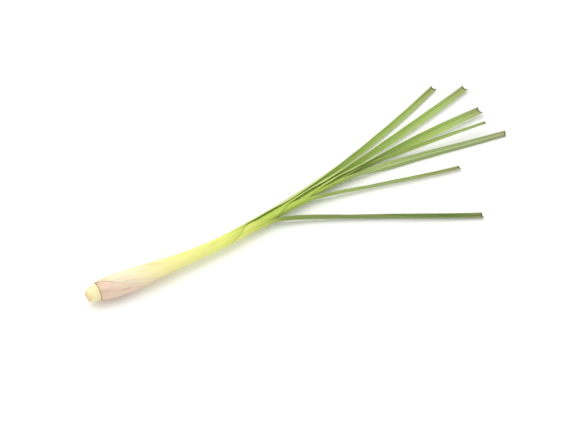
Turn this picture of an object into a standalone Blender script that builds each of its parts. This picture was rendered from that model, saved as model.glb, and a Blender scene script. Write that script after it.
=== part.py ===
"""A trimmed lemongrass stalk, lying down.

The stalk is a short solid stem with seven leaves wrapped round one another. Each leaf is one solid: a
sheath that wraps the younger leaves, and from its collar on a long blade folded along its midrib.

Frame: metres, +Z up, +X from the root end towards the blade tips, -Y the near side. The origin is on
the small flat under the bulb that the stalk rests on. An angle round the stalk is 0 on the near side,
90 on top, 180 on the far side and 270 underneath.
"""

import math
import random
from collections import namedtuple

import bmesh
import bpy
from mathutils import Vector

MM = 0.001
DEG = math.pi / 180
SHARP_ANGLE = 45 * DEG

# The nest of sheaths, from the root end (s = 0) along X
REST_FROM_ROOT = 24 * MM
BULB_AT = 22 * MM
BULB_RADIUS = 12.1 * MM
BASE_ROUNDING = 0.17
ROUNDING_POWER = 2.5
TAPER_LENGTH = 52 * MM
TAPER_POWER = 2.1
NECK_RADIUS = 6.1 * MM
LOOSE_FROM = 150 * MM
LOOSENING = 0.008
BULB_WALL = 1.15 * MM
UPPER_WALL = 0.62 * MM
EDGE_WALL = 0.6 * MM
THINS_FROM = 0.7
THICKEST_WALL = 2.0 * MM
BULB_GAP = 0.36 * MM
UPPER_GAP = 0.28 * MM
SLIT = 3 * DEG

# The line of the stalk: a slight crook where the bulb meets the stem, then a soft bend to the far side
AXIS_HEIGHT_AT_REST = 11.7 * MM
LEAN = 0.018
ROOT_HOOK = 1.6 * MM
HOOK_REACH = 13 * MM
BEND_FROM = 124 * MM
BEND_LENGTH = 22 * MM
BEND_SLOPE = 0.155

# The outermost sheath's edge climbs round the bulb towards the root
EDGE_CLIMB = 200 * DEG
CLIMB_REACH = 46 * MM

# Collars and blades
MOUTH_FLARE = 0.5 * MM
COLLAR_HALF_WIDTH = 5.2 * MM
KEEL_WIDTH = 1.7 * MM
MIDRIB_RIDGE = 0.35 * MM
BLADE_WALL = 0.65 * MM
BLADE_CURL = 30.0
UNCURL_RUN = 45 * MM
FOLD_FROM = 12 * MM
FOLD_RUN = 50 * MM
TWIST_FROM = 0.15
TIP_HANDLE = 0.35
WIDENS_UNTIL = 0.3
NARROWS_FROM = 0.4
SLANT_FROM = 0.85
CUT_SLANT = 0.25

# The short stem
KNOB_RADIUS = 8.2 * MM
KNOB_LENGTH = 11.5 * MM
NECK_IN_BULB = 7.2 * MM
NECK_FROM = 0.3 * MM
NECK_TO = 3.8 * MM
CONE_FROM = 5 * MM
CONE_TO = 12 * MM
CONE_FOOT = 6.5 * MM
CONE_SLOPE = 0.64
CONE_TIP_AT = 13.2 * MM
STEM_SIDES = 28
STUB_COUNT = 11
STUB_SEED = 7
STUB_FIELD = 5.3 * MM
STUB_SUNK = 0.45 * MM
END_DOME = 0.12
GOLDEN_ANGLE = 137.5 * DEG

# Rows of a leaf's mesh: the sheaths share their stations, which lie closest together at the root
FIRST_STEP = 5 * MM
STEP_GROWTH = 0.12
LONGEST_STEP = 15 * MM
MOUTH_STEP = 4 * MM
BLADE_ROWS = 12
ROW_CROWDING = 1.25

Leaf = namedtuple(
    "Leaf",
    "name layer start collar mouth midrib_at_root midrib_at_collar seam climb leave_angle leave_run "
    "tip heading half_width tip_share fold facing turned_by columns color",
)
Row = namedtuple("Row", "midrib tangent facing low high fold curl wall edge floor ridge slant")

# Tips are (distance from the root end, across, height) of the midrib at the cut. Angles in degrees.
# A blade has turned to its facing by the share turned_by of the way to its cut.
LEAVES = (
    Leaf("leaf_1", 0, 0.6 * MM, 166 * MM, 36 * MM, 190, 165, -65, 1, 1, 60 * MM,
         (412 * MM, 89.6 * MM, 0.3 * MM), 24, 5.0 * MM, 0.85, 38, 68, 1.0, 20, (0.80, 0.86, 0.50)),
    Leaf("leaf_2", 1, 0.8 * MM, 186 * MM, 26 * MM, -15, -15, 165, 0, 9, 20 * MM,
         (374.5 * MM, -77.2 * MM, 0.3 * MM), -24, 5.0 * MM, 0.95, 48, 92, 1.0, 16, (0.62, 0.72, 0.33)),
    Leaf("leaf_3", 2, 5 * MM, 212 * MM, 26 * MM, 165, 165, -22, 0, 4, 50 * MM,
         (439.5 * MM, 73.5 * MM, 2.4 * MM), 17, 5.6 * MM, 0.8, 32, 70, 1.0, 14, (0.52, 0.66, 0.28)),
    Leaf("leaf_4", 3, 7 * MM, 229 * MM, 24 * MM, -15, -15, 165, 0, 8, 22 * MM,
         (384.5 * MM, -14.7 * MM, 1.2 * MM), -8, 4.2 * MM, 0.8, 48, 95, 1.0, 12, (0.46, 0.60, 0.26)),
    Leaf("leaf_5", 4, 9 * MM, 244 * MM, 24 * MM, 165, 165, -22, 0, 5, 40 * MM,
         (437.5 * MM, 39.5 * MM, 4.0 * MM), 3, 6.8 * MM, 0.75, 32, 70, 1.0, 10, (0.42, 0.58, 0.24)),
    Leaf("leaf_6", 5, 11 * MM, 258 * MM, 22 * MM, -15, -15, 165, 0, 3, 50 * MM,
         (446 * MM, 2.0 * MM, 4.0 * MM), -7, 4.6 * MM, 0.79, 24, 228, 0.4, 10, (0.50, 0.66, 0.34)),
    Leaf("leaf_7", 6, 13 * MM, 272 * MM, 20 * MM, 165, 165, -18, 0, 3, 40 * MM,
         (432.5 * MM, 19.5 * MM, 9.0 * MM), -2, 3.4 * MM, 0.7, 45, 85, 1.0, 8, (0.56, 0.70, 0.36)),
)


def ease(share):
    share = min(max(share, 0.0), 1.0)
    return share * share * (3.0 - 2.0 * share)


def mix(first, last, share):
    return first + (last - first) * share


# The nest


def bulb_share(s):
    """1 in the bulb, falling to 0 along the neck."""
    return math.exp(-((max(s - BULB_AT, 0.0) / TAPER_LENGTH) ** TAPER_POWER))


def nest_radius(s):
    """Radius over the outermost sheath."""
    rounding = BASE_ROUNDING * (max(BULB_AT - s, 0.0) / BULB_AT) ** ROUNDING_POWER
    radius = mix(NECK_RADIUS, BULB_RADIUS, bulb_share(s)) * (1.0 - rounding)
    return radius + LOOSENING * max(s - LOOSE_FROM, 0.0)


def wall_at(s):
    return mix(UPPER_WALL, BULB_WALL, bulb_share(s))


def layer_step(s):
    """From one sheath's outer face to the next one's: a wall and the gap inside it."""
    return wall_at(s) + mix(UPPER_GAP, BULB_GAP, bulb_share(s))


def axis_point(s):
    hook = ROOT_HOOK * math.exp(-((s / HOOK_REACH) ** 2))
    bend = BEND_SLOPE * BEND_LENGTH * math.log1p(math.exp((s - BEND_FROM) / BEND_LENGTH))
    height = AXIS_HEIGHT_AT_REST - LEAN * (s - REST_FROM_ROOT)
    return Vector((s - REST_FROM_ROOT, hook + bend, height))


def axis_tangent(s):
    step = 0.5 * MM
    return (axis_point(s + step) - axis_point(s - step)).normalized()


def near_and_up(tangent):
    """The two directions across a tangent that angles round it are measured in."""
    near = tangent.cross(Vector((0, 0, 1))).normalized()
    return near, near.cross(tangent)


def round_direction(tangent, angle):
    near, up = near_and_up(tangent)
    return near * math.cos(angle) + up * math.sin(angle)


# One row across a leaf


def bent_step(point, heading, length, curvature):
    """(across, depth) and heading after a run of this length and curvature."""
    turned = heading + length * curvature
    if abs(length * curvature) < 1e-6:
        return (point[0] + length * math.cos(heading), point[1] + length * math.sin(heading)), turned
    across = point[0] + (math.sin(turned) - math.sin(heading)) / curvature
    depth = point[1] + (math.cos(heading) - math.cos(turned)) / curvature
    return (across, depth), turned


def gutter(run, fold, curl):
    """(across, depth) and heading at this run from the midrib: a keel that turns by fold, then a flank."""
    keel = min(run, KEEL_WIDTH)
    point, heading = bent_step((0.0, 0.0), 0.0, keel, curl + fold / KEEL_WIDTH)
    return bent_step(point, heading, run - keel, curl)


def row_run(row, u):
    return (row.high if u > 0 else row.low) * abs(u)


def added_wall(row, u):
    """What the midrib's ridge adds to the wall and the thinner edge takes away."""
    ridge = row.ridge * (1.0 - ease(row_run(row, u) / KEEL_WIDTH))
    return ridge - (row.wall - row.edge) * ease((abs(u) - THINS_FROM) / (1.0 - THINS_FROM))


def row_point(row, u):
    """The outer face at u: -1 and 1 are the leaf's two edges and 0 its midrib."""
    inward = round_direction(row.tangent, row.facing)
    sideways = row.tangent.cross(inward)
    (across, depth), heading = gutter(row_run(row, u), row.fold, row.curl)
    out = added_wall(row, u)
    across = (across + out * math.sin(heading)) * (1 if u > 0 else -1)
    depth -= out * math.cos(heading)
    point = row.midrib + sideways * across + inward * depth + row.tangent * (row.slant * across)
    point.z = max(point.z, row.floor)
    return point


# Rows along a leaf


def sheath_row(leaf, s):
    """A row that wraps the stalk, narrowing at the mouth to the width of the blade's foot."""
    tangent = axis_tangent(s)
    mouth = ease((s - leaf.collar + leaf.mouth) / leaf.mouth)
    radius = nest_radius(s) - leaf.layer * layer_step(s) + MOUTH_FLARE * mouth
    midrib_angle = mix(leaf.midrib_at_root, leaf.midrib_at_collar, s / leaf.collar) * DEG
    low_edge = leaf.seam * DEG + SLIT
    high_edge = leaf.seam * DEG - SLIT
    low_edge -= 2 * math.pi if low_edge > midrib_angle else 0
    high_edge += 2 * math.pi if high_edge < midrib_angle else 0
    low_edge += leaf.climb * EDGE_CLIMB * math.exp(-s / CLIMB_REACH)
    return Row(
        midrib=axis_point(s) + round_direction(tangent, midrib_angle) * radius,
        tangent=tangent,
        facing=midrib_angle + math.pi,
        low=mix((midrib_angle - low_edge) * radius, COLLAR_HALF_WIDTH, mouth),
        high=mix((high_edge - midrib_angle) * radius, COLLAR_HALF_WIDTH, mouth),
        fold=0.0,
        curl=1.0 / radius,
        wall=wall_at(s),
        edge=min(wall_at(s), EDGE_WALL),
        floor=leaf.layer * layer_step(s),
        ridge=0.0,
        slant=0.0,
    )


def blade_row(leaf, share):
    """A row of the blade, at this share of the way from the collar to the cut."""
    foot = sheath_row(leaf, leaf.collar)
    outward = -round_direction(foot.tangent, foot.facing)
    leave = leaf.leave_angle * DEG
    leaving = foot.tangent * math.cos(leave) + outward * math.sin(leave)
    tip = Vector(leaf.tip) - Vector((REST_FROM_ROOT, 0, 0))
    length = (tip - foot.midrib).length
    ending = Vector((math.cos(leaf.heading * DEG), math.sin(leaf.heading * DEG), 0))
    points = (foot.midrib, foot.midrib + leaving * leaf.leave_run, tip - ending * length * TIP_HANDLE, tip)
    rest = 1.0 - share
    weights = (rest**3, 3 * share * rest**2, 3 * share**2 * rest, share**3)
    slopes = (-(rest**2), rest**2 - 2 * share * rest, 2 * share * rest - share**2, share**2)
    run = share * length
    narrowing = mix(1.0, leaf.tip_share, ease((share - NARROWS_FROM) / (1.0 - NARROWS_FROM)))
    reach = mix(COLLAR_HALF_WIDTH, leaf.half_width, ease(share / WIDENS_UNTIL)) * narrowing
    twist = ease((share - TWIST_FROM) / (leaf.turned_by - TWIST_FROM))
    start_facing = foot.facing % (2 * math.pi)
    start_facing -= 2 * math.pi if start_facing > 1.5 * math.pi else 0
    return Row(
        midrib=sum((point * weight for point, weight in zip(points, weights)), Vector()),
        tangent=sum((point * slope for point, slope in zip(points, slopes)), Vector()).normalized(),
        facing=mix(start_facing, leaf.facing * DEG, twist),
        low=reach,
        high=reach,
        fold=leaf.fold * DEG * ease((run - FOLD_FROM) / FOLD_RUN),
        curl=mix(foot.curl, BLADE_CURL, ease(run / UNCURL_RUN)),
        wall=mix(foot.wall, BLADE_WALL, ease(run / UNCURL_RUN)),
        edge=EDGE_WALL,
        floor=0.0,
        ridge=MIDRIB_RIDGE * ease(run / UNCURL_RUN),
        slant=CUT_SLANT * ease((share - SLANT_FROM) / (1.0 - SLANT_FROM)),
    )


def stations(first, last):
    """Distances from the root end, from first up to just short of last, on one spacing for all leaves."""
    found = [first]
    s = MM
    while s < last - 0.4 * LONGEST_STEP:
        if s > first + 0.5 * FIRST_STEP:
            found.append(s)
        s += min(FIRST_STEP + STEP_GROWTH * s, LONGEST_STEP)
    return found


def leaf_rows(leaf):
    """The rows of a leaf: root to mouth, mouth to collar, collar to cut."""
    mouth_at = leaf.collar - leaf.mouth
    mouth_rows = math.ceil(leaf.mouth / MOUTH_STEP)
    rows = [sheath_row(leaf, s) for s in stations(leaf.start, mouth_at)]
    rows += [sheath_row(leaf, mix(mouth_at, leaf.collar, i / mouth_rows)) for i in range(mouth_rows)]
    rows += [blade_row(leaf, (i / BLADE_ROWS) ** ROW_CROWDING) for i in range(BLADE_ROWS + 1)]
    return rows


# Objects


def material(name, color, roughness):
    made = bpy.data.materials.new(name)
    made.use_nodes = True
    surface = made.node_tree.nodes["Principled BSDF"]
    surface.inputs["Base Color"].default_value = (*color, 1.0)
    surface.inputs["Roughness"].default_value = roughness
    surface.inputs["Metallic"].default_value = 0.0
    return made


def object_from(name, bm, made_of):
    mesh = bpy.data.meshes.new(name)
    bm.to_mesh(mesh)
    bm.free()
    mesh.shade_smooth()
    mesh.set_sharp_from_angle(angle=SHARP_ANGLE)
    mesh.materials.append(made_of)
    obj = bpy.data.objects.new(name, mesh)
    bpy.context.scene.collection.objects.link(obj)
    return obj


def add_leaf(leaf):
    """A grid whose long way runs from root to cut, shaped row by row and given its wall by Solidify."""
    rows = leaf_rows(leaf)
    bm = bmesh.new()
    bmesh.ops.create_grid(bm, x_segments=leaf.columns, y_segments=len(rows) - 1, size=1.0)
    bmesh.ops.triangulate(bm, faces=bm.faces, quad_method="FIXED")
    walls = bm.verts.layers.deform.verify()
    for vert in bm.verts:
        row = rows[round((vert.co.y + 1) / 2 * (len(rows) - 1))]
        u = vert.co.x
        vert[walls][0] = (row.wall + added_wall(row, u)) / THICKEST_WALL
        vert.co = row_point(row, u)
    obj = object_from(leaf.name, bm, material(leaf.name, leaf.color, 0.45))
    obj.vertex_groups.new(name="wall")
    solid = obj.modifiers.new("Wall", "SOLIDIFY")
    solid.thickness = THICKEST_WALL
    solid.vertex_group = "wall"
    solid.offset = 1.0
    solid.use_even_offset = False
    return obj


def stem_profile():
    """(along, radius) of the short stem: a rounded knob with ring scars, a neck, and a cone in the bulb."""
    shares = [
        (-1.00, 0.00),
        (-0.99, 0.40),
        (-0.95, 0.55),
        (-0.87, 0.67),
        (-0.75, 0.78),
        (-0.58, 0.89),
        (-0.42, 0.96),
        (-0.38, 0.94),
        (-0.34, 0.97),
        (-0.16, 1.00),
        (-0.12, 0.98),
        (-0.08, 1.00),
        (0.01, 1.00),
    ]
    knob = [(along * KNOB_LENGTH, share * KNOB_RADIUS) for along, share in shares]
    neck = [(NECK_FROM, NECK_IN_BULB), (NECK_TO, NECK_IN_BULB)]
    cone = [(s, CONE_FOOT - (s - CONE_FROM) * CONE_SLOPE) for s in (CONE_FROM, CONE_TO)]
    return knob + neck + cone + [(CONE_TIP_AT, 0.0)]


def add_stem_base(made_of):
    bm = bmesh.new()
    profile = [bm.verts.new((along, 0, radius)) for along, radius in stem_profile()]
    edges = [bm.edges.new(pair) for pair in zip(profile, profile[1:])]
    bmesh.ops.spin(
        bm, geom=profile + edges, axis=(1, 0, 0), cent=(0, 0, 0), angle=2 * math.pi, steps=STEM_SIDES,
        use_merge=True,
    )
    bmesh.ops.remove_doubles(bm, verts=bm.verts, dist=0.01 * MM)
    bmesh.ops.recalc_face_normals(bm, faces=bm.faces)
    for vert in bm.verts:
        near, up = near_and_up(axis_tangent(vert.co.x))
        vert.co = axis_point(vert.co.x) - near * vert.co.y + up * vert.co.z
    return object_from("stem_base", bm, made_of)


def add_root_stub(index, rng, made_of):
    """A short trimmed root on the end of the knob, sunk well in, pointing back and outwards."""
    angle = index * GOLDEN_ANGLE
    reach = math.sqrt((index + 0.5) / STUB_COUNT)
    along = -KNOB_LENGTH + END_DOME * KNOB_LENGTH * reach**4
    tangent = axis_tangent(along)
    outward = round_direction(tangent, angle)
    direction = (outward * reach**3 - tangent).normalized()
    length = rng.uniform(1.8, 2.6) * MM
    bm = bmesh.new()
    bmesh.ops.create_cone(
        bm, cap_ends=True, segments=7, radius1=rng.uniform(0.9, 1.3) * MM,
        radius2=rng.uniform(0.5, 0.8) * MM, depth=length,
    )
    turn = Vector((0, 0, 1)).rotation_difference(direction).to_matrix()
    bmesh.ops.rotate(bm, verts=bm.verts, matrix=turn)
    foot = axis_point(along) + outward * STUB_FIELD * reach - direction * STUB_SUNK
    bmesh.ops.translate(bm, verts=bm.verts, vec=foot)
    return object_from(f"root_stub_{index + 1}", bm, made_of)


def join_stubs(stem, stubs):
    """One Boolean union over the stubs, applied, so that the stem and its roots are one body."""
    group = bpy.data.collections.new("root_stubs")
    bpy.context.scene.collection.children.link(group)
    for stub in stubs:
        bpy.context.scene.collection.objects.unlink(stub)
        group.objects.link(stub)
    union = stem.modifiers.new("Root stubs", "BOOLEAN")
    union.operation = "UNION"
    union.operand_type = "COLLECTION"
    union.collection = group
    union.solver = "EXACT"
    joined = bpy.data.meshes.new_from_object(stem.evaluated_get(bpy.context.evaluated_depsgraph_get()))
    stem.modifiers.clear()
    stem.data = joined
    for stub in stubs:
        bpy.data.objects.remove(stub)
    bpy.data.collections.remove(group)


def main():
    for obj in list(bpy.data.objects):
        bpy.data.objects.remove(obj)
    root_material = material("stem_base", (0.80, 0.69, 0.50), 0.7)
    stem = add_stem_base(root_material)
    rng = random.Random(STUB_SEED)
    join_stubs(stem, [add_root_stub(i, rng, root_material) for i in range(STUB_COUNT)])
    for leaf in LEAVES:
        add_leaf(leaf)


main()
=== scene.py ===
# %% [markdown]
# A trimmed lemongrass stalk, lying on a pale surface. The stalk is a short knob of stem with seven leaves
# wrapped round one another. Each leaf has two parts: a sheath that wraps the younger leaves inside it, and
# a long blade, folded along its midrib, that starts at the collar. The CAD frame gives every leaf as a
# solid; here each one gets a finer skin of the same form, and the finishes that make it look grown.

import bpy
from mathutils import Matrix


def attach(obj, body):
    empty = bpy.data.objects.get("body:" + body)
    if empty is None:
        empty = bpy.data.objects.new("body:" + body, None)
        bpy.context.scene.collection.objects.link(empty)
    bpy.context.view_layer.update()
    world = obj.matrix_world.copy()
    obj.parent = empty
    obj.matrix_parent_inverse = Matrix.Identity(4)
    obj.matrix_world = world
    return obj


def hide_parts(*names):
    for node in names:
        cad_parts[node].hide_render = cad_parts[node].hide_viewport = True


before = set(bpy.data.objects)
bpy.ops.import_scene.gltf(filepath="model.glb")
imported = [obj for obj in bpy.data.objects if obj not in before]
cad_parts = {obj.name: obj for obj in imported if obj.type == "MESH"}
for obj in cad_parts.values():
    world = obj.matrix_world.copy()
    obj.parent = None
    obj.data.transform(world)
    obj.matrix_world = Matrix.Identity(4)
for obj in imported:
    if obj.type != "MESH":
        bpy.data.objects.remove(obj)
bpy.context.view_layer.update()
print("CAD nodes:", sorted(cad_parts))

# %% Modules and units
import math
import random
from collections import namedtuple

import bmesh
import bpy
from mathutils import Vector, noise

MM = 0.001
DEG = math.pi / 180
scene = bpy.context.scene

# %% [markdown]
# The camera looks down on the stalk at about fifty degrees, from the root end's side, so the stalk runs up
# to the right. A long lens far away keeps the near and the far end at nearly one scale, as in a catalogue.
# The camera's aim is a point near the middle of the stalk's length.

# %% Camera
VIEW_AZIMUTH = -26.9 * DEG
VIEW_ELEVATION = 52 * DEG
VIEW_AIM = Vector((172.8 * MM, 7.3 * MM, 7.4 * MM))
VIEW_WIDTH = 0.545  # metres across, at the aim
LENS_MM = 150
SENSOR_MM = 36

away = Vector((
    math.cos(VIEW_ELEVATION) * math.sin(VIEW_AZIMUTH),
    -math.cos(VIEW_ELEVATION) * math.cos(VIEW_AZIMUTH),
    math.sin(VIEW_ELEVATION),
))
distance = VIEW_WIDTH * LENS_MM / SENSOR_MM
camera_data = bpy.data.cameras.new("camera")
camera_data.lens = LENS_MM
camera_data.sensor_width = SENSOR_MM
camera_data.clip_end = 20
camera = bpy.data.objects.new("camera", camera_data)
camera.location = VIEW_AIM + away * distance
camera.rotation_euler = (-away).to_track_quat("-Z", "Y").to_euler()
scene.collection.objects.link(camera)
scene.camera = camera
print("camera stands", round(distance, 2), "m away")

# %% [markdown]
# Colours are written as they look on a screen, 0 to 255, because that is how a painter's chart or a colour
# picker gives them. The shader wants linear light, so one helper converts them. Building every material
# through the same few helpers keeps the node trees short to read.

# %% Helpers for colours and nodes


def paint(red, green, blue):
    """A screen colour, 0 to 255, as linear light for a shader."""
    def linear(value):
        value /= 255
        return value / 12.92 if value <= 0.04045 else ((value + 0.055) / 1.055) ** 2.4
    return linear(red), linear(green), linear(blue), 1.0


def node(tree, kind, label="", **settings):
    """Adds a node with its settings; gives the node."""
    made = tree.nodes.new(kind)
    made.label = label
    for name, value in settings.items():
        setattr(made, name, value)
    return made


def feed(tree, target, **sources):
    """Links an output, or sets a plain value, on each named input; _ stands for a space."""
    for name, source in sources.items():
        socket = target.inputs[name.replace("_", " ")]
        if isinstance(source, bpy.types.NodeSocket):
            tree.links.new(source, socket)
        else:
            socket.default_value = source


def maths(tree, operation, *values, clamp=False):
    """A Math node on outputs or plain numbers; gives its output."""
    made = node(tree, "ShaderNodeMath", operation=operation, use_clamp=clamp)
    for socket, value in zip(made.inputs, values):
        if isinstance(value, bpy.types.NodeSocket):
            tree.links.new(value, socket)
        else:
            socket.default_value = value
    return made.outputs[0]


def step_up(tree, value, low, high, to_low=0.0, to_high=1.0):
    """A smooth rise between low and high; gives its output."""
    made = node(tree, "ShaderNodeMapRange", interpolation_type="SMOOTHSTEP")
    feed(tree, made, Value=value, From_Min=low, From_Max=high, To_Min=to_low, To_Max=to_high)
    return made.outputs["Result"]


# A Mix node has sockets for every kind of data. These are the places of the ones for colours.
MIX_FACTOR, MIX_FIRST, MIX_SECOND, MIX_RESULT = 0, 6, 7, 2


def blend_colors(tree, share, first, second, how="MIX"):
    """A Mix node on two colours; gives its output."""
    made = node(tree, "ShaderNodeMix", data_type="RGBA", blend_type=how)
    for place, value in zip((MIX_FACTOR, MIX_FIRST, MIX_SECOND), (share, first, second)):
        if isinstance(value, bpy.types.NodeSocket):
            tree.links.new(value, made.inputs[place])
        else:
            made.inputs[place].default_value = value
    return made.outputs[MIX_RESULT]


def new_group(name, inputs, outputs):
    """An empty node group with named sockets; gives the tree and its input and output nodes."""
    tree = bpy.data.node_groups.new(name, "ShaderNodeTree")
    for socket_name, kind, value in inputs:
        socket = tree.interface.new_socket(socket_name, in_out="INPUT", socket_type=kind)
        socket.default_value = value
    for socket_name, kind in outputs:
        tree.interface.new_socket(socket_name, in_out="OUTPUT", socket_type=kind)
    return tree, tree.nodes.new("NodeGroupInput").outputs, tree.nodes.new("NodeGroupOutput")


print("cream on the shader's scale:", [round(c, 2) for c in paint(255, 244, 209)])

# %% [markdown]
# Every grass leaf is ruled with veins that run side by side from root to tip. On the skin they show as fine
# lines, a little paler and a little raised. A Wave texture gives even lines and a Noise texture stretched
# along the leaf gives the fibres between them. Both read the leaf's own map, where the first number is the
# distance across from the midrib and the second the distance from the root, both in metres.

# %% Node group: veins
WAVES_PER_UNIT = 20 / math.tau  # what a Wave texture of scale 1 draws
VEIN_WANDER = 0.25
FIBRE_STRETCH = (2600, 22, 1)

veins, given, result = new_group(
    "leaf veins",
    [("Leaf Map", "NodeSocketVector", (0, 0, 0)), ("Vein Pitch", "NodeSocketFloat", 0.9 * MM),
     ("Fibre Share", "NodeSocketFloat", 0.5)],
    [("Fibres", "NodeSocketFloat"), ("Relief", "NodeSocketFloat")],
)
lines = node(veins, "ShaderNodeTexWave", "vein lines", bands_direction="X")
line_scale = maths(veins, "DIVIDE", 1.0 / WAVES_PER_UNIT, given["Vein Pitch"])
feed(veins, lines, Vector=given["Leaf Map"], Scale=line_scale, Distortion=VEIN_WANDER,
     Detail=1.0, Detail_Scale=0.05)
stretch = node(veins, "ShaderNodeMapping", "along the leaf")
feed(veins, stretch, Vector=given["Leaf Map"], Scale=FIBRE_STRETCH)
fibres = node(veins, "ShaderNodeTexNoise", "fibres")
feed(veins, fibres, Vector=stretch.outputs[0], Scale=1.0, Detail=3.0, Roughness=0.6)
relief = node(veins, "ShaderNodeMix", "relief", data_type="FLOAT")
feed(veins, relief, Factor=given["Fibre Share"], A=lines.outputs["Fac"], B=fibres.outputs["Fac"])
veins.links.new(fibres.outputs["Fac"], result.inputs["Fibres"])
veins.links.new(relief.outputs["Result"], result.inputs["Relief"])
print("vein group has", len(veins.nodes), "nodes")

# %% [markdown]
# A leaf's colour is set by its age at each place: white and blushing where the bulb kept it from the light,
# yellow along the sheath, green past the collar, and grey-green where the blade has begun to dry. This group
# turns the distance from the root into one growth number, 0 at the root, a half at the collar and 1 at the
# cut, and shakes it a little with noise so that the colours drift into each other in streaks.

# %% Node group: growth along the leaf
STREAK_STRETCH = (420, 9, 1)
BLOTCH_STRETCH = (160, 30, 1)
STAIN_DEPTH = 2.0 * MM
STAIN_RAGGED = 1.2 * MM

growth, given, result = new_group(
    "leaf growth",
    [("Leaf Map", "NodeSocketVector", (0, 0, 0)), ("Collar", "NodeSocketFloat", 0.17),
     ("Cut", "NodeSocketFloat", 0.38), ("Drift", "NodeSocketFloat", 0.05)],
    [("Growth", "NodeSocketFloat"), ("Cut End", "NodeSocketFloat"), ("Blotches", "NodeSocketFloat")],
)
parts = node(growth, "ShaderNodeSeparateXYZ")
growth.links.new(given["Leaf Map"], parts.inputs[0])
sheath_share = node(growth, "ShaderNodeMapRange", "up the sheath")
feed(growth, sheath_share, Value=parts.outputs["Y"], From_Min=0.0, From_Max=given["Collar"], To_Max=0.5)
blade_share = node(growth, "ShaderNodeMapRange", "along the blade")
feed(growth, blade_share, Value=parts.outputs["Y"], From_Min=given["Collar"], From_Max=given["Cut"],
     To_Max=0.5)
steady = maths(growth, "ADD", sheath_share.outputs[0], blade_share.outputs[0])
streak_map = node(growth, "ShaderNodeMapping", "long streaks")
feed(growth, streak_map, Vector=given["Leaf Map"], Scale=STREAK_STRETCH)
streaks = node(growth, "ShaderNodeTexNoise", "streaks")
feed(growth, streaks, Vector=streak_map.outputs[0], Scale=1.0, Detail=2.0)
shaken = maths(growth, "MULTIPLY_ADD", maths(growth, "SUBTRACT", streaks.outputs["Fac"], 0.5),
               given["Drift"], steady)
blotch_map = node(growth, "ShaderNodeMapping", "blotches")
feed(growth, blotch_map, Vector=given["Leaf Map"], Scale=BLOTCH_STRETCH)
blotches = node(growth, "ShaderNodeTexNoise", "blotches")
feed(growth, blotches, Vector=blotch_map.outputs[0], Scale=1.0, Detail=4.0, Roughness=0.65)
to_cut = maths(growth, "SUBTRACT", given["Cut"], parts.outputs["Y"])
ragged = maths(growth, "MULTIPLY_ADD", streaks.outputs["Fac"], -STAIN_RAGGED, to_cut)
growth.links.new(shaken, result.inputs["Growth"])
growth.links.new(step_up(growth, ragged, STAIN_DEPTH, 0.0), result.inputs["Cut End"])
growth.links.new(blotches.outputs["Fac"], result.inputs["Blotches"])
print("growth group has", len(growth.nodes), "nodes")

# %% [markdown]
# All seven sheaths share one nest: a line that the stalk follows, and a radius round it that swells at the
# bulb and narrows to the neck. Each sheath lies one wall and one small gap inside the one before. These are
# the same rules as in the CAD, because the finer skin has to keep the form of the solid that it replaces.

# %% The nest: line, radius and layers
REST_FROM_ROOT = 24 * MM
BULB_AT = 22 * MM
BULB_RADIUS = 12.1 * MM
BASE_ROUNDING = 0.17
ROUNDING_POWER = 2.5
TAPER_LENGTH = 52 * MM
TAPER_POWER = 2.1
NECK_RADIUS = 6.1 * MM
LOOSE_FROM = 150 * MM
LOOSENING = 0.008
BULB_WALL = 1.15 * MM
UPPER_WALL = 0.62 * MM
BULB_GAP = 0.36 * MM
UPPER_GAP = 0.28 * MM
AXIS_HEIGHT_AT_REST = 11.7 * MM
LEAN = 0.018
ROOT_HOOK = 1.6 * MM
HOOK_REACH = 13 * MM
BEND_FROM = 124 * MM
BEND_LENGTH = 22 * MM
BEND_SLOPE = 0.155


def ease(share):
    """0 to 1 with a gentle start and end."""
    share = min(max(share, 0.0), 1.0)
    return share * share * (3.0 - 2.0 * share)


def mix(first, last, share):
    """The value at this share of the way from first to last."""
    return first + (last - first) * share


def bulb_share(s):
    """1 in the bulb, falling to 0 along the neck; s is the distance from the root end."""
    return math.exp(-((max(s - BULB_AT, 0.0) / TAPER_LENGTH) ** TAPER_POWER))


def nest_radius(s):
    rounding = BASE_ROUNDING * (max(BULB_AT - s, 0.0) / BULB_AT) ** ROUNDING_POWER
    radius = mix(NECK_RADIUS, BULB_RADIUS, bulb_share(s)) * (1.0 - rounding)
    return radius + LOOSENING * max(s - LOOSE_FROM, 0.0)


def wall_at(s):
    return mix(UPPER_WALL, BULB_WALL, bulb_share(s))


def layer_step(s):
    return wall_at(s) + mix(UPPER_GAP, BULB_GAP, bulb_share(s))


def axis_point(s):
    hook = ROOT_HOOK * math.exp(-((s / HOOK_REACH) ** 2))
    bend = BEND_SLOPE * BEND_LENGTH * math.log1p(math.exp((s - BEND_FROM) / BEND_LENGTH))
    height = AXIS_HEIGHT_AT_REST - LEAN * (s - REST_FROM_ROOT)
    return Vector((s - REST_FROM_ROOT, hook + bend, height))


def axis_tangent(s):
    step = 0.5 * MM
    return (axis_point(s + step) - axis_point(s - step)).normalized()


def round_direction(tangent, angle):
    """Across a tangent: 0 is the near side, 90 degrees the top."""
    near = tangent.cross(Vector((0, 0, 1))).normalized()
    return near * math.cos(angle) + near.cross(tangent) * math.sin(angle)


print("bulb", round(2000 * nest_radius(BULB_AT), 1), "mm across, neck", round(2000 * nest_radius(0.15), 1))

# %% [markdown]
# A row across a leaf is a gutter: a narrow keel at the midrib that turns by the fold angle, then a flank
# with an even curl. A sheath is the same gutter with no fold and the stalk's own curl, so one rule covers
# the whole leaf and it unrolls from tube to blade without a seam. A Row holds all that one cross-section
# needs: its midrib, which way it faces, its width to either side, its fold and curl, its walls, and a floor
# that it doesn't dip below.

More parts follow.
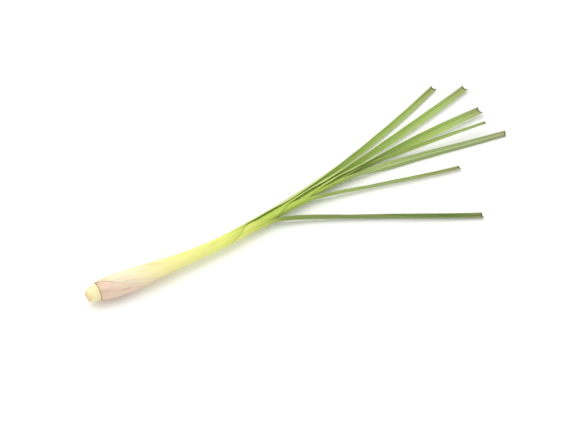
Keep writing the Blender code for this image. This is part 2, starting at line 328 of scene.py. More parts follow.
# %% One row across a leaf
KEEL_WIDTH = 1.7 * MM
SKIN_EASE = 0.12 * MM
CLING = 0.2 * MM
THINS_FROM = 0.7
CLINGS_FROM = 0.8
RIPPLES_ACROSS = 2.5
RIPPLES_PER_METRE = 60
RIPPLE_SHIFT = 900

Row = namedtuple(
    "Row", "s midrib tangent facing low high fold curl wall edge floor ridge slant cling wave",
)


def bent_step(point, heading, length, curvature):
    """(across, depth) and heading after a run of this length and curvature."""
    turned = heading + length * curvature
    if abs(length * curvature) < 1e-6:
        return (point[0] + length * math.cos(heading), point[1] + length * math.sin(heading)), turned
    across = point[0] + (math.sin(turned) - math.sin(heading)) / curvature
    depth = point[1] + (math.cos(heading) - math.cos(turned)) / curvature
    return (across, depth), turned


def gutter(run, fold, curl):
    keel = min(run, KEEL_WIDTH)
    point, heading = bent_step((0.0, 0.0), 0.0, keel, curl + fold / KEEL_WIDTH)
    return bent_step(point, heading, run - keel, curl)


def row_run(row, u):
    """Distance from the midrib, measured along the skin; u is -1 and 1 at the leaf's two edges."""
    return (row.high if u > 0 else row.low) * abs(u)


def skin_change(row, u):
    """(outer face moved out by, wall) at u: a ridge at the midrib, and a thin margin that clings."""
    ridge = row.ridge * (1.0 - ease(row_run(row, u) / KEEL_WIDTH))
    thinning = (row.wall - row.edge) * ease((abs(u) - THINS_FROM) / (1.0 - THINS_FROM))
    clinging = row.cling * ease((abs(u) - CLINGS_FROM) / (1.0 - CLINGS_FROM))
    waves = noise.noise(Vector((u * RIPPLES_ACROSS, row.s * RIPPLES_PER_METRE, row.floor * RIPPLE_SHIFT)))
    ripple = row.wave * (waves - 0.5) * ease(1.5 * abs(u))
    return ridge - thinning - clinging - SKIN_EASE + ripple, row.wall + ridge - thinning


def row_point(row, u):
    inward = round_direction(row.tangent, row.facing)
    sideways = row.tangent.cross(inward)
    (across, depth), heading = gutter(row_run(row, u), row.fold, row.curl)
    out = skin_change(row, u)[0]
    across = (across + out * math.sin(heading)) * (1 if u > 0 else -1)
    depth -= out * math.cos(heading)
    point = row.midrib + sideways * across + inward * depth + row.tangent * (row.slant * across)
    point.z = max(point.z, row.floor)
    return point


flank_end = gutter(5 * MM, 45 * DEG, 30)[0]
print("a 5 mm flank folded by 45 degrees reaches", [round(d / MM, 2) for d in flank_end], "mm")

# %% [markdown]
# The leaves sit on two opposite sides in turn, as grass leaves do: odd ones from the far side, even ones
# from the near side. Each line holds the collar's place, how the sheath sits round the stalk, and where its
# blade goes. A blade has turned to its facing by the share turned_by of the way to its cut: leaf_6 turns
# early and ends with its back up. The angles, widths and tips are those of the CAD solids. The skin lies a
# hair inside them and its walls and margins are thinner, because a real leaf's blade is thin and a sheath's
# margin is like paper.

# %% The seven leaves
Leaf = namedtuple(
    "Leaf",
    "name layer start collar mouth midrib_at_root midrib_at_collar seam climb leave_angle leave_run "
    "tip heading half_width tip_share fold facing turned_by",
)
LEAVES = (
    Leaf("leaf_1", 0, 0.6 * MM, 166 * MM, 36 * MM, 190, 165, -65, 1, 1, 60 * MM,
         (412 * MM, 89.6 * MM, 0.3 * MM), 24, 5.0 * MM, 0.85, 38, 68, 1.0),
    Leaf("leaf_2", 1, 0.8 * MM, 186 * MM, 26 * MM, -15, -15, 165, 0, 9, 20 * MM,
         (374.5 * MM, -77.2 * MM, 0.3 * MM), -24, 5.0 * MM, 0.95, 48, 92, 1.0),
    Leaf("leaf_3", 2, 5 * MM, 212 * MM, 26 * MM, 165, 165, -22, 0, 4, 50 * MM,
         (439.5 * MM, 73.5 * MM, 2.4 * MM), 17, 5.6 * MM, 0.8, 32, 70, 1.0),
    Leaf("leaf_4", 3, 7 * MM, 229 * MM, 24 * MM, -15, -15, 165, 0, 8, 22 * MM,
         (384.5 * MM, -14.7 * MM, 1.2 * MM), -8, 4.2 * MM, 0.8, 48, 95, 1.0),
    Leaf("leaf_5", 4, 9 * MM, 244 * MM, 24 * MM, 165, 165, -22, 0, 5, 40 * MM,
         (437.5 * MM, 39.5 * MM, 4.0 * MM), 3, 6.8 * MM, 0.75, 32, 70, 1.0),
    Leaf("leaf_6", 5, 11 * MM, 258 * MM, 22 * MM, -15, -15, 165, 0, 3, 50 * MM,
         (446 * MM, 2.0 * MM, 4.0 * MM), -7, 4.6 * MM, 0.79, 24, 228, 0.4),
    Leaf("leaf_7", 6, 13 * MM, 272 * MM, 20 * MM, 165, 165, -18, 0, 3, 40 * MM,
         (432.5 * MM, 19.5 * MM, 9.0 * MM), -2, 3.4 * MM, 0.7, 45, 85, 1.0),
)
print(len(LEAVES), "leaves, collars at", [round(1000 * leaf.collar) for leaf in LEAVES], "mm")

# %% Rows along a leaf
SLIT = 3 * DEG
EDGE_CLIMB = 200 * DEG
CLIMB_REACH = 46 * MM
MOUTH_FLARE = 0.5 * MM
COLLAR_HALF_WIDTH = 5.2 * MM
MIDRIB_RIDGE = 0.35 * MM
BLADE_WALL = 0.42 * MM
SHEATH_EDGE = 0.16 * MM
BLADE_EDGE = 0.2 * MM
BLADE_CURL = 30.0
UNCURL_RUN = 45 * MM
FOLD_FROM = 12 * MM
FOLD_RUN = 50 * MM
TWIST_FROM = 0.15
TIP_HANDLE = 0.35
WIDENS_UNTIL = 0.3
NARROWS_FROM = 0.4
SLANT_FROM = 0.85
CUT_SLANT = 0.25
SHEATH_RIPPLE = 0.1 * MM
BLADE_RIPPLE = 0.3 * MM
SHEATH_STEP = 2.5 * MM
BLADE_ROWS = 110
ROW_CROWDING = 1.1


def sheath_row(leaf, s):
    """A row that wraps the stalk, narrowing at the mouth to the width of the blade's foot."""
    tangent = axis_tangent(s)
    mouth = ease((s - leaf.collar + leaf.mouth) / leaf.mouth)
    radius = nest_radius(s) - leaf.layer * layer_step(s) + MOUTH_FLARE * mouth
    midrib_angle = mix(leaf.midrib_at_root, leaf.midrib_at_collar, s / leaf.collar) * DEG
    low_edge = leaf.seam * DEG + SLIT
    high_edge = leaf.seam * DEG - SLIT
    low_edge -= math.tau if low_edge > midrib_angle else 0
    high_edge += math.tau if high_edge < midrib_angle else 0
    low_edge += leaf.climb * EDGE_CLIMB * math.exp(-s / CLIMB_REACH)
    return Row(
        s=s,
        midrib=axis_point(s) + round_direction(tangent, midrib_angle) * radius,
        tangent=tangent,
        facing=midrib_angle + math.pi,
        low=mix((midrib_angle - low_edge) * radius, COLLAR_HALF_WIDTH, mouth),
        high=mix((high_edge - midrib_angle) * radius, COLLAR_HALF_WIDTH, mouth),
        fold=0.0,
        curl=1.0 / radius,
        wall=wall_at(s),
        edge=SHEATH_EDGE,
        floor=leaf.layer * layer_step(s),
        ridge=0.0,
        slant=0.0,
        cling=CLING * (1.0 - mouth),
        wave=SHEATH_RIPPLE,
    )


def blade_row(leaf, share):
    """A row of the blade, this share of the way from collar to cut; the midrib is a Bezier curve."""
    foot = sheath_row(leaf, leaf.collar)
    outward = -round_direction(foot.tangent, foot.facing)
    leave = leaf.leave_angle * DEG
    leaving = foot.tangent * math.cos(leave) + outward * math.sin(leave)
    tip = Vector(leaf.tip) - Vector((REST_FROM_ROOT, 0, 0))
    length = (tip - foot.midrib).length
    ending = Vector((math.cos(leaf.heading * DEG), math.sin(leaf.heading * DEG), 0))
    points = (foot.midrib, foot.midrib + leaving * leaf.leave_run, tip - ending * length * TIP_HANDLE, tip)
    rest = 1.0 - share
    weights = (rest**3, 3 * share * rest**2, 3 * share**2 * rest, share**3)
    slopes = (-(rest**2), rest**2 - 2 * share * rest, 2 * share * rest - share**2, share**2)
    run = share * length
    narrowing = mix(1.0, leaf.tip_share, ease((share - NARROWS_FROM) / (1.0 - NARROWS_FROM)))
    reach = mix(COLLAR_HALF_WIDTH, leaf.half_width, ease(share / WIDENS_UNTIL)) * narrowing
    twist = ease((share - TWIST_FROM) / (leaf.turned_by - TWIST_FROM))
    # The blade turns the short way round to its facing.
    start_facing = foot.facing % math.tau
    start_facing -= math.tau if start_facing > 1.5 * math.pi else 0
    uncurled = ease(run / UNCURL_RUN)
    return Row(
        s=leaf.collar + run,
        midrib=sum((point * weight for point, weight in zip(points, weights)), Vector()),
        tangent=sum((point * slope for point, slope in zip(points, slopes)), Vector()).normalized(),
        facing=mix(start_facing, leaf.facing * DEG, twist),
        low=reach,
        high=reach,
        fold=leaf.fold * DEG * ease((run - FOLD_FROM) / FOLD_RUN),
        curl=mix(foot.curl, BLADE_CURL, uncurled),
        wall=mix(foot.wall, BLADE_WALL, uncurled),
        edge=mix(SHEATH_EDGE, BLADE_EDGE, uncurled),
        floor=0.0,
        ridge=MIDRIB_RIDGE * uncurled,
        slant=CUT_SLANT * ease((share - SLANT_FROM) / (1.0 - SLANT_FROM)),
        cling=0.0,
        wave=mix(SHEATH_RIPPLE, BLADE_RIPPLE, uncurled),
    )


def leaf_rows(leaf):
    sheath_count = round((leaf.collar - leaf.start) / SHEATH_STEP)
    rows = [sheath_row(leaf, mix(leaf.start, leaf.collar, i / sheath_count)) for i in range(sheath_count)]
    return rows + [blade_row(leaf, (i / BLADE_ROWS) ** ROW_CROWDING) for i in range(BLADE_ROWS + 1)]


for leaf in LEAVES:
    rows = leaf_rows(leaf)
    print(leaf.name, len(rows), "rows, cut", round(1000 * rows[-1].s), "mm from the root")

# %% [markdown]
# Each leaf starts as a flat bmesh grid. Every vertex is moved to its row and its place across, and carries
# two things along for the finish: how near it is to a margin, and a map of distances in metres. Solidify
# then gives the wall, from a vertex group, so that the margins are thin and the midrib is thick, and gives
# the outer face and the rim the second of the leaf's two finishes. The cut end is made ragged by moving the
# last rows back by uneven amounts, the way a knife leaves long fibres.

# %% Build a leaf's skin
COLUMNS = 64
THICKEST_WALL = 2.0 * MM
RAGGED_DEPTH = 0.6 * MM
RAGGED_REACH = 3 * MM
FIBRES_PER_METRE = 900
NICK_DEPTH = 0.03
NICKS_PER_METRE = 350
NICKED_FROM = 0.85
MARGIN_CROWDING = 0.55


def crowded(t):
    """Spreads -1..1 so that columns lie closer together near the two margins."""
    return mix(t, math.sin(t * math.pi / 2), MARGIN_CROWDING)


def nicked(row, u, layer):
    """Pulls the margin in by small uneven bites."""
    bite = max(noise.noise(Vector((row.s * NICKS_PER_METRE, math.copysign(3.0, u), layer * 5.0))), 0.0)
    return u * (1.0 - NICK_DEPTH * bite * ease((abs(u) - NICKED_FROM) / (1.0 - NICKED_FROM)))


def drawn_back(row, across, cut, layer):
    """How far a fibre of the cut end lies behind the cut."""
    jag = 0.5 + noise.noise(Vector((across * FIBRES_PER_METRE, layer * 9.0, 0.0)))
    return RAGGED_DEPTH * max(jag, 0.0) * ease(1.0 - (cut - row.s) / RAGGED_REACH)


def build_leaf(leaf):
    rows = leaf_rows(leaf)
    cut = rows[-1].s
    bm = bmesh.new()
    bmesh.ops.create_grid(bm, x_segments=COLUMNS, y_segments=len(rows) - 1, size=1.0)
    walls = bm.verts.layers.deform.verify()
    margin = bm.verts.layers.float.new("margin")
    places = {}
    for vert in bm.verts:
        row = rows[round((vert.co.y + 1) / 2 * (len(rows) - 1))]
        u = nicked(row, crowded(vert.co.x), leaf.layer)
        vert[walls][0] = skin_change(row, u)[1] / THICKEST_WALL
        vert[margin] = abs(u)
        across = row_run(row, u) * (1 if u > 0 else -1)
        back = drawn_back(row, across, cut, leaf.layer)
        places[vert] = (across, row.s - back)
        vert.co = row_point(row, u) - row.tangent * back
    leaf_map = bm.loops.layers.uv.new("leaf_map")
    for face in bm.faces:
        for loop in face.loops:
            loop[leaf_map].uv = places[loop.vert]
    mesh = bpy.data.meshes.new(f"{leaf.name}_fine")
    bm.to_mesh(mesh)
    bm.free()
    mesh.shade_smooth()
    skin = bpy.data.objects.new(f"{leaf.name}_fine", mesh)
    scene.collection.objects.link(skin)
    skin.vertex_groups.new(name="wall")
    wall = skin.modifiers.new("Wall", "SOLIDIFY")
    wall.thickness = THICKEST_WALL
    wall.vertex_group = "wall"
    wall.offset = 1.0
    wall.use_even_offset = False
    wall.material_offset = 1
    wall.material_offset_rim = 1
    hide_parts(leaf.name)
    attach(skin, "root")
    return skin, cut


skins = {}
cuts = {}
for leaf in LEAVES:
    skins[leaf.name], cuts[leaf.name] = build_leaf(leaf)
    print(leaf.name, "skin has", len(skins[leaf.name].data.polygons), "faces before its wall")

# %% [markdown]
# The two faces of a leaf age in the same way but not to the same colour: the outer face of the sheath is
# what the stalk shows at the bulb, and the inner face of the blade is what most of the fan shows. One
# function builds both finishes from a list of colour stops along the growth number. Its colours are laid
# one over another, as a painter glazes: growth, blush, spots, vein valleys, midrib, margin, drying and cut.
# Most of them come in smoothly between two values, of growth, of noise or of the place across, and those
# pairs are named below. The cut end is duller than the rest, and the veins feed a bump so that a low light
# catches them.

# %% Colours and scales that all leaves share
VEIN_PITCH = 0.95 * MM
FIBRE_SHARE = 0.45
COLOR_DRIFT = 0.09
DRY_TAN = paint(158, 146, 112)
CUT_BROWN = paint(104, 96, 70)
PALE_MIDRIB = paint(206, 216, 158)
LAVENDER = paint(204, 184, 186)
SPOT_BROWN = paint(150, 124, 66)
VALLEY_TINT = (0.62, 0.68, 0.42, 1.0)
VALLEY_SHARE = 0.22
BLUSH_GROWTH = (0.24, 0.02)
BLUSH_PATCHES = (0.25, 0.6)
BLUSH_LEAST = 0.45
SPOT_PATCHES = (0.5, 0.72)
MIDRIB_EDGES = (0.9 * MM, 0.25 * MM)
MIDRIB_GROWTH = (0.46, 0.6)
MIDRIB_SHARE = 0.5
MARGIN_EDGES = (0.965, 0.998)
MARGIN_SHARE = 0.4
LAVENDER_GROWTH = (0.3, 0.08)
DRYING_GROWTH = (0.93, 1.0)
DRYING_SHARE = 0.45
FIBRE_ROUGHNESS = 0.22
CUT_ROUGHNESS = 0.35
VEIN_RELIEF = 0.12 * MM
print("dry tan is", [round(c, 2) for c in DRY_TAN])

# %% Build a leaf's finish


def leaf_finish(name, leaf, stops, blush_color, blush, spots, roughness):
    """One face's material, from its colour stops; blush and spots are how strongly those show."""
    material = bpy.data.materials.new(name)
    material.use_nodes = True
    tree = material.node_tree
    surface = tree.nodes["Principled BSDF"]
    leaf_map = node(tree, "ShaderNodeUVMap", uv_map="leaf_map").outputs[0]
    margin = node(tree, "ShaderNodeAttribute", attribute_name="margin").outputs["Fac"]
    ruled = node(tree, "ShaderNodeGroup", "veins", node_tree=veins)
    feed(tree, ruled, Leaf_Map=leaf_map, Vein_Pitch=VEIN_PITCH, Fibre_Share=FIBRE_SHARE)
    grown = node(tree, "ShaderNodeGroup", "growth", node_tree=growth)
    feed(tree, grown, Leaf_Map=leaf_map, Collar=leaf.collar, Cut=cuts[leaf.name], Drift=COLOR_DRIFT)
    age = grown.outputs["Growth"]

    palette = node(tree, "ShaderNodeValToRGB", "colour by growth")
    ramp = palette.color_ramp
    while len(ramp.elements) < len(stops):
        ramp.elements.new(0.5)
    for element, (position, color) in zip(ramp.elements, stops):
        element.position = position
        element.color = paint(*color)
    tree.links.new(age, palette.inputs[0])

    patchy = step_up(tree, grown.outputs["Blotches"], *BLUSH_PATCHES, BLUSH_LEAST, 1.0)
    young = maths(tree, "MULTIPLY", step_up(tree, age, *BLUSH_GROWTH), patchy)
    blushed = blend_colors(tree, maths(tree, "MULTIPLY", young, blush), palette.outputs["Color"],
                           paint(*blush_color))
    spotty = maths(tree, "MULTIPLY", step_up(tree, grown.outputs["Blotches"], *SPOT_PATCHES), spots)
    spotted = blend_colors(tree, spotty, blushed, SPOT_BROWN)
    valley = maths(tree, "MULTIPLY", maths(tree, "SUBTRACT", 1.0, ruled.outputs["Relief"]), VALLEY_SHARE)
    lined = blend_colors(tree, valley, spotted, VALLEY_TINT, "MULTIPLY")

    across = node(tree, "ShaderNodeSeparateXYZ")
    tree.links.new(leaf_map, across.inputs[0])
    off_midrib = maths(tree, "ABSOLUTE", across.outputs["X"])
    near_midrib = step_up(tree, off_midrib, *MIDRIB_EDGES, 0.0, MIDRIB_SHARE)
    rib = maths(tree, "MULTIPLY", near_midrib, step_up(tree, age, *MIDRIB_GROWTH))
    ribbed = blend_colors(tree, rib, lined, PALE_MIDRIB)
    papery = step_up(tree, margin, *MARGIN_EDGES, 0.0, MARGIN_SHARE)
    rim_color = blend_colors(tree, step_up(tree, age, *LAVENDER_GROWTH), DRY_TAN, LAVENDER)
    edged = blend_colors(tree, papery, ribbed, rim_color)
    near_cut = step_up(tree, age, *DRYING_GROWTH, 0.0, DRYING_SHARE)
    drying = blend_colors(tree, near_cut, edged, DRY_TAN)
    ended = blend_colors(tree, grown.outputs["Cut End"], drying, CUT_BROWN)
    tree.links.new(ended, surface.inputs["Base Color"])

    worn = maths(tree, "MULTIPLY_ADD", ruled.outputs["Fibres"], FIBRE_ROUGHNESS, roughness)
    dull = maths(tree, "MULTIPLY_ADD", grown.outputs["Cut End"], CUT_ROUGHNESS, worn, clamp=True)
    tree.links.new(dull, surface.inputs["Roughness"])
    bump = node(tree, "ShaderNodeBump", "vein relief")
    feed(tree, bump, Height=ruled.outputs["Relief"], Strength=0.55, Distance=VEIN_RELIEF)
    tree.links.new(bump.outputs[0], surface.inputs["Normal"])
    feed(tree, surface, Metallic=0.0, IOR=1.42, Specular_IOR_Level=0.3, Subsurface_Weight=0.12,
         Subsurface_Scale=0.003, Subsurface_Radius=(0.7, 1.0, 0.3))
    return material

# %% [markdown]
# The stops below follow one leaf from the root to its cut. The two outer leaves keep the long pale sheath of
# the bulb. The five inner ones show only above the collars, where the light has already turned them green,
# so their sheaths go from cream to lime much sooner. The blades differ most: leaf_2's is a deep green, those
# of leaf_4 and leaf_6 lie between, and the rest are a light green. All of them turn greyer towards the cut.

# %% Colours of each leaf
PALE_SHEATH = (
    (0.00, (238, 224, 172)), (0.03, (250, 238, 200)), (0.10, (252, 240, 203)), (0.16, (250, 239, 181)),
    (0.22, (246, 238, 160)), (0.30, (240, 240, 146)), (0.39, (234, 240, 130)), (0.45, (206, 217, 104)),
    (0.50, (174, 191, 82)),
)
GREEN_SHEATH = (
    (0.00, (238, 228, 176)), (0.10, (250, 242, 200)), (0.26, (240, 240, 160)), (0.36, (212, 224, 114)),
    (0.43, (188, 208, 94)), (0.50, (176, 200, 88)),
)
BLADES = {
    "leaf_1": ((0.58, (192, 214, 110)), (0.74, (180, 204, 114)), (1.0, (164, 184, 110))),
    "leaf_2": ((0.56, (116, 140, 52)), (0.72, (106, 130, 62)), (1.0, (116, 140, 78))),
    "leaf_3": ((0.58, (188, 211, 108)), (0.76, (180, 204, 116)), (1.0, (164, 186, 114))),
    "leaf_4": ((0.58, (158, 181, 86)), (0.76, (148, 171, 94)), (1.0, (158, 164, 112))),
    "leaf_5": ((0.58, (184, 208, 104)), (0.76, (180, 203, 114)), (1.0, (166, 188, 114))),
    "leaf_6": ((0.58, (164, 188, 98)), (0.76, (136, 159, 86)), (1.0, (126, 144, 90))),
    "leaf_7": ((0.58, (172, 196, 98)), (0.76, (166, 188, 106)), (1.0, (156, 176, 112))),
}
BLUSHES = {"leaf_1": ((238, 212, 190), 0.35), "leaf_2": ((226, 190, 180), 0.85)}
PLAIN_BLUSH = ((240, 224, 200), 0.2)
SPOT_SHARES = {"leaf_1": 0.25, "leaf_2": 0.4, "leaf_4": 0.3}
FEW_SPOTS = 0.12
PALE_GREY = 214
BACK_PALENESS = 0.16
OUTER_ROUGHNESS = 0.36  # before the fibres: the outer face is the waxier one
INNER_ROUGHNESS = 0.44


def paler(color):
    """The colour of a blade's back, which is greyer than its inner face."""
    return tuple(round(mix(value, PALE_GREY, BACK_PALENESS)) for value in color)


for leaf in LEAVES:
    sheath = PALE_SHEATH if leaf.layer < 2 else GREEN_SHEATH
    blade = BLADES[leaf.name]
    back = tuple((position, paler(color)) for position, color in blade)
    blush_color, blush = BLUSHES.get(leaf.name, PLAIN_BLUSH)
    spots = SPOT_SHARES.get(leaf.name, FEW_SPOTS)
    finishes = [
        leaf_finish(f"{leaf.name}_inner_face", leaf, sheath + blade, blush_color, 0.0, spots,
                    INNER_ROUGHNESS),
        leaf_finish(f"{leaf.name}_outer_face", leaf, sheath + back, blush_color, blush, spots,
                    OUTER_ROUGHNESS),
    ]
    for finish in finishes:
        skins[leaf.name].data.materials.append(finish)
    print(leaf.name, "has", [finish.name for finish in finishes])

# %% [markdown]
# The knob at the root end is the real stem, from which all the leaves grow. It was trimmed by hand, so it
# has shallow rings where older leaves were pulled off, and short stubs of roots on its end. It is spun from
# a profile, the stubs and a few low root scars are added, and a voxel remesh fuses everything into one body
# with soft joins, which a plain Boolean would leave sharp.

# %% Build the stem's knob
KNOB_RADIUS = 8.2 * MM
KNOB_LENGTH = 11.5 * MM
KNOB_EASE = 0.985
NECK_IN_BULB = 7.05 * MM
NECK_FROM = 0.3 * MM
NECK_TO = 3.8 * MM
CONE_FROM = 5 * MM
CONE_TO = 12 * MM
CONE_FOOT = 6.35 * MM
CONE_SLOPE = 0.64
CONE_TIP_AT = 12.9 * MM
KNOB_PROFILE = (
    (-1.00, 0.00), (-0.997, 0.22), (-0.98, 0.45), (-0.95, 0.56), (-0.87, 0.68), (-0.75, 0.79),
    (-0.58, 0.89), (-0.48, 0.935), (-0.42, 0.955), (-0.39, 0.93), (-0.36, 0.96), (-0.26, 0.985),
    (-0.17, 0.995), (-0.14, 0.965), (-0.11, 0.995), (0.01, 1.00),
)
SPIN_STEPS = 72
STUB_COUNT = 11
STUB_SEED = 7
STUB_LENGTHS = (1.8, 2.6)  # this and the next two in millimetres
STUB_FOOT_RADII = (0.9, 1.3)
STUB_TIP_RADII = (0.5, 0.8)
STUB_FIELD = 5.3 * MM
STUB_SUNK = 0.55 * MM
END_DOME = 0.12
GOLDEN_ANGLE = 137.5 * DEG
SCAR_RINGS = ((-0.26, 0.985), (-0.58, 0.89))  # points of the profile
SCAR_COUNT = 9
SCAR_STAGGER = 11  # degrees
SCAR_RADIUS = 0.6 * MM
SCAR_HEIGHT = 0.12 * MM
FUSE_VOXEL = 0.2 * MM


def spun_knob():
    """The solid of revolution: knob, neck under the sheaths, and the cone inside the bulb."""
    profile = [(along * KNOB_LENGTH * KNOB_EASE, share * KNOB_RADIUS * KNOB_EASE)
               for along, share in KNOB_PROFILE]
    profile += [(NECK_FROM, NECK_IN_BULB), (NECK_TO, NECK_IN_BULB)]
    profile += [(s, CONE_FOOT - (s - CONE_FROM) * CONE_SLOPE) for s in (CONE_FROM, CONE_TO)]
    profile += [(CONE_TIP_AT, 0.0)]
    bm = bmesh.new()
    verts = [bm.verts.new((along, 0, radius)) for along, radius in profile]
    edges = [bm.edges.new(pair) for pair in zip(verts, verts[1:])]
    bmesh.ops.spin(bm, geom=verts + edges, axis=(1, 0, 0), cent=(0, 0, 0), angle=math.tau,
                   steps=SPIN_STEPS, use_merge=True)
    bmesh.ops.remove_doubles(bm, verts=bm.verts, dist=0.01 * MM)
    bmesh.ops.recalc_face_normals(bm, faces=bm.faces)
    for vert in bm.verts:
        s, side, up = vert.co
        tangent = axis_tangent(s)
        near = round_direction(tangent, 0)
        vert.co = axis_point(s) - near * side + round_direction(tangent, math.pi / 2) * up
    return bm


def add_stub(bm, rng, index):
    """A trimmed root on the knob's end; gives its foot."""
    angle = index * GOLDEN_ANGLE
    reach = math.sqrt((index + 0.5) / STUB_COUNT)
    along = -KNOB_LENGTH + END_DOME * KNOB_LENGTH * reach**4
    tangent = axis_tangent(along)
    outward = round_direction(tangent, angle)
    direction = (outward * reach**3 - tangent).normalized()
    length = rng.uniform(*STUB_LENGTHS) * MM
    turn = Vector((0, 0, 1)).rotation_difference(direction).to_matrix().to_4x4()
    foot = axis_point(along) + outward * STUB_FIELD * reach - direction * STUB_SUNK
    turn.translation = foot
    bmesh.ops.create_cone(bm, cap_ends=True, segments=18, radius1=rng.uniform(*STUB_FOOT_RADII) * MM,
                          radius2=rng.uniform(*STUB_TIP_RADII) * MM, depth=length, matrix=turn)
    return foot + direction * 0.5 * length


def add_scar(bm, index):
    """A low bump on the knob's side, where a root once began; gives its middle."""
    angle = (index * 360 / SCAR_COUNT + SCAR_STAGGER * (index % 3)) * DEG
    share, skin_share = SCAR_RINGS[index % 2]
    along = share * KNOB_LENGTH
    from_axis = skin_share * KNOB_RADIUS * KNOB_EASE + SCAR_HEIGHT - SCAR_RADIUS
    place = axis_point(along) + round_direction(axis_tangent(along), angle) * from_axis
    found = bmesh.ops.create_icosphere(bm, subdivisions=3, radius=SCAR_RADIUS)
    bmesh.ops.translate(bm, verts=found["verts"], vec=place)
    return place


knob_mesh = spun_knob()
rng = random.Random(STUB_SEED)
stub_ends = [add_stub(knob_mesh, rng, i) for i in range(STUB_COUNT)]
scar_places = [add_scar(knob_mesh, i) for i in range(SCAR_COUNT)]
print("knob has", len(stub_ends), "root stubs and", len(scar_places), "scars")

# %% Fuse the knob and mark its cut roots
STUB_MARK = 0.7 * MM
SCAR_MARK = 0.5 * MM
SCAR_SHARE = 0.6
JOIN_SMOOTHING = 0.5
WEATHERING = 0.12 * MM
PITS_PER_METRE = 700
PIT_LIFT = 0.2

rough_mesh = bpy.data.meshes.new("stem_rough")
knob_mesh.to_mesh(rough_mesh)
knob_mesh.free()
rough = bpy.data.objects.new("stem_rough", rough_mesh)
scene.collection.objects.link(rough)
fuse = rough.modifiers.new("Fuse", "REMESH")
fuse.mode = "VOXEL"
fuse.voxel_size = FUSE_VOXEL
fused = bpy.data.meshes.new_from_object(rough.evaluated_get(bpy.context.evaluated_depsgraph_get()))
bpy.data.objects.remove(rough)

bm = bmesh.new()
bm.from_mesh(fused)
bmesh.ops.smooth_vert(bm, verts=bm.verts, factor=JOIN_SMOOTHING,
                      use_axis_x=True, use_axis_y=True, use_axis_z=True)
bm.normal_update()
cut_root = bm.verts.layers.float.new("cut_root")
for vert in bm.verts:
    to_stub = min((vert.co - end).length for end in stub_ends)
    to_scar = min((vert.co - place).length for place in scar_places)
    vert[cut_root] = max(ease(2 - to_stub / STUB_MARK), SCAR_SHARE * ease(2 - to_scar / SCAR_MARK))
for vert in bm.verts:
    vert.co -= vert.normal * WEATHERING * max(noise.noise(vert.co * PITS_PER_METRE) + PIT_LIFT, 0.0)
bm.to_mesh(fused)
bm.free()
fused.name = "stem_fine"
fused.shade_smooth()
knob = bpy.data.objects.new("stem_fine", fused)
scene.collection.objects.link(knob)
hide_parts("stem_base")
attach(knob, "root")
print("fused knob has", len(fused.polygons), "faces")

# %% [markdown]
# The knob is firm and corky, cream under the sheaths and a little tanner at its end, with faint rings and
# slightly darker tips where roots were cut. The rings are bands on Object coordinates, and the attribute
# made above marks the cut roots. Noise stretched along the stem gives a fibrous skin.

# %% Knob finish
CORK_CREAM = paint(246, 236, 186)
CORK_END = paint(234, 216, 164)
CORK_WARM = paint(232, 208, 158)
RING_TAN = paint(204, 180, 124)
ROOT_TAN = paint(172, 142, 94)
FIBRE_TINT = (0.75, 0.65, 0.45, 1.0)
CORK_STRETCH = (180, 900, 900)
CORK_RELIEF = 0.2 * MM
CORK_ROUGHNESS = 0.5
GRAIN_ROUGHNESS = 0.25
END_EDGES = (-30 * MM, -35.5 * MM)
END_SHARE = 0.6
PATCH_SCALE = 260.0
PATCH_EDGES = (0.45, 0.7)
PATCH_SHARE = 0.4
RING_SCALE = 90.0
RING_EDGES = (0.85, 1.0)
RING_SHARE = 0.2
ROOT_SHARE = 0.4
FURROW_EDGES = (0.65, 0.35)
FURROW_SHARE = 0.18

corky = bpy.data.materials.new("corky_root_end")
corky.use_nodes = True
tree = corky.node_tree
surface = tree.nodes["Principled BSDF"]
place = node(tree, "ShaderNodeTexCoord").outputs["Object"]
split = node(tree, "ShaderNodeSeparateXYZ")
tree.links.new(place, split.inputs[0])
grain_map = node(tree, "ShaderNodeMapping", "fibres along the stem")
feed(tree, grain_map, Vector=place, Scale=CORK_STRETCH)
grain = node(tree, "ShaderNodeTexNoise", "fibres")
feed(tree, grain, Vector=grain_map.outputs[0], Scale=1.0, Detail=5.0, Roughness=0.65)
patch = node(tree, "ShaderNodeTexNoise", "patches")
feed(tree, patch, Vector=place, Scale=PATCH_SCALE, Detail=3.0)
end_face = step_up(tree, split.outputs["X"], *END_EDGES)
body = blend_colors(tree, maths(tree, "MULTIPLY", end_face, END_SHARE), CORK_CREAM, CORK_END)
patches = step_up(tree, patch.outputs["Fac"], *PATCH_EDGES, 0.0, PATCH_SHARE)
warm = blend_colors(tree, patches, body, CORK_WARM)
ring = node(tree, "ShaderNodeTexWave", "ring scars", bands_direction="X")
feed(tree, ring, Vector=place, Scale=RING_SCALE, Distortion=2.2, Detail=2.0, Detail_Scale=1.5)
rings = maths(tree, "MULTIPLY", step_up(tree, ring.outputs["Fac"], *RING_EDGES), RING_SHARE)
ringed = blend_colors(tree, rings, warm, RING_TAN)
mark = node(tree, "ShaderNodeAttribute", attribute_name="cut_root").outputs["Fac"]
marked = blend_colors(tree, maths(tree, "MULTIPLY", mark, ROOT_SHARE), ringed, ROOT_TAN)
furrows = step_up(tree, grain.outputs["Fac"], *FURROW_EDGES, 0.0, FURROW_SHARE)
fibrous = blend_colors(tree, furrows, marked, FIBRE_TINT, "MULTIPLY")
tree.links.new(fibrous, surface.inputs["Base Color"])
dull = maths(tree, "MULTIPLY_ADD", grain.outputs["Fac"], GRAIN_ROUGHNESS, CORK_ROUGHNESS)
tree.links.new(dull, surface.inputs["Roughness"])
cork_bump = node(tree, "ShaderNodeBump", "cork relief")
feed(tree, cork_bump, Height=grain.outputs["Fac"], Strength=0.6, Distance=CORK_RELIEF)
tree.links.new(cork_bump.outputs[0], surface.inputs["Normal"])
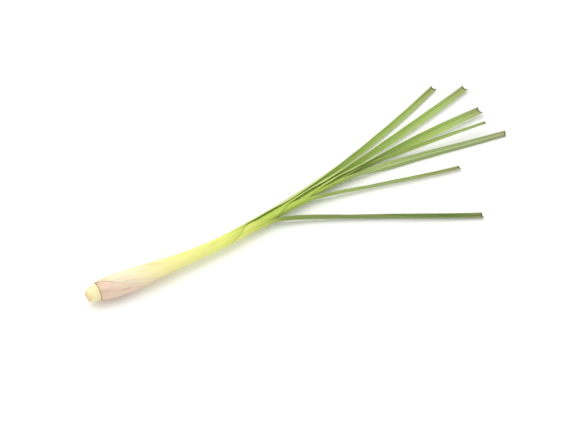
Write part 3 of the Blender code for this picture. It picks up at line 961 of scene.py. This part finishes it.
feed(tree, surface, Metallic=0.0, Subsurface_Weight=0.1, Subsurface_Scale=0.002)
fused.materials.append(corky)
print("corky finish has", len(tree.nodes), "nodes")

# %% [markdown]
# The floor is a wide sheet of white board. It is pale enough to go to pure white under the lamps, so the
# stalk lies free and only a soft shadow holds it to the surface. A trace of noise in the roughness keeps
# it from looking like plain paint.

# %% Floor
FLOOR_HALF = 4.0
BOARD_WHITE = paint(250, 250, 248)
BOARD_ROUGHNESS = 0.8
TOOTH_SCALE = 300.0
TOOTH_ROUGHNESS = 0.1

bm = bmesh.new()
bmesh.ops.create_grid(bm, x_segments=1, y_segments=1, size=FLOOR_HALF)
floor_mesh = bpy.data.meshes.new("floor")
bm.to_mesh(floor_mesh)
bm.free()
floor = bpy.data.objects.new("floor", floor_mesh)
scene.collection.objects.link(floor)
board = bpy.data.materials.new("white_board")
board.use_nodes = True
tree = board.node_tree
surface = tree.nodes["Principled BSDF"]
tooth = node(tree, "ShaderNodeTexNoise", "board tooth")
feed(tree, tooth, Vector=node(tree, "ShaderNodeTexCoord").outputs["Object"], Scale=TOOTH_SCALE, Detail=2.0)
dull = maths(tree, "MULTIPLY_ADD", tooth.outputs["Fac"], TOOTH_ROUGHNESS, BOARD_ROUGHNESS)
tree.links.new(dull, surface.inputs["Roughness"])
feed(tree, surface, Base_Color=BOARD_WHITE, Metallic=0.0)
floor_mesh.materials.append(board)
print("floor is", 2 * FLOOR_HALF, "m wide")

# %% [markdown]
# One large lamp hangs over the stalk, a little behind it and to the left, so each leaf is bright on top and
# falls softly into shade towards the viewer. A weaker lamp in front, to the right, opens the shade, and an
# even pale world fills the rest. A plain display curve keeps the whites white, where a film-like one greys
# them.

# %% Light
KEY_PLACE = (-0.4, 0.55, 1.45)  # metres from the camera's aim
KEY_SIZE = 1.5
KEY_POWER = 13
FILL_PLACE = (0.9, -1.1, 1.3)
FILL_SIZE = 1.4
FILL_POWER = 4
SKY_STRENGTH = 0.8


def add_lamp(name, place, size, power):
    lamp = bpy.data.lights.new(name, "AREA")
    lamp.size = size
    lamp.energy = power
    holder = bpy.data.objects.new(name, lamp)
    holder.location = VIEW_AIM + Vector(place)
    holder.rotation_euler = Vector(place).to_track_quat("Z", "Y").to_euler()
    scene.collection.objects.link(holder)


add_lamp("key_lamp", KEY_PLACE, KEY_SIZE, KEY_POWER)
add_lamp("fill_lamp", FILL_PLACE, FILL_SIZE, FILL_POWER)
world = bpy.data.worlds.new("pale_room")
world.use_nodes = True
sky = world.node_tree.nodes["Background"]
sky.inputs["Color"].default_value = (1.0, 1.0, 1.0, 1.0)
sky.inputs["Strength"].default_value = SKY_STRENGTH
scene.world = world
scene.view_settings.view_transform = "Standard"
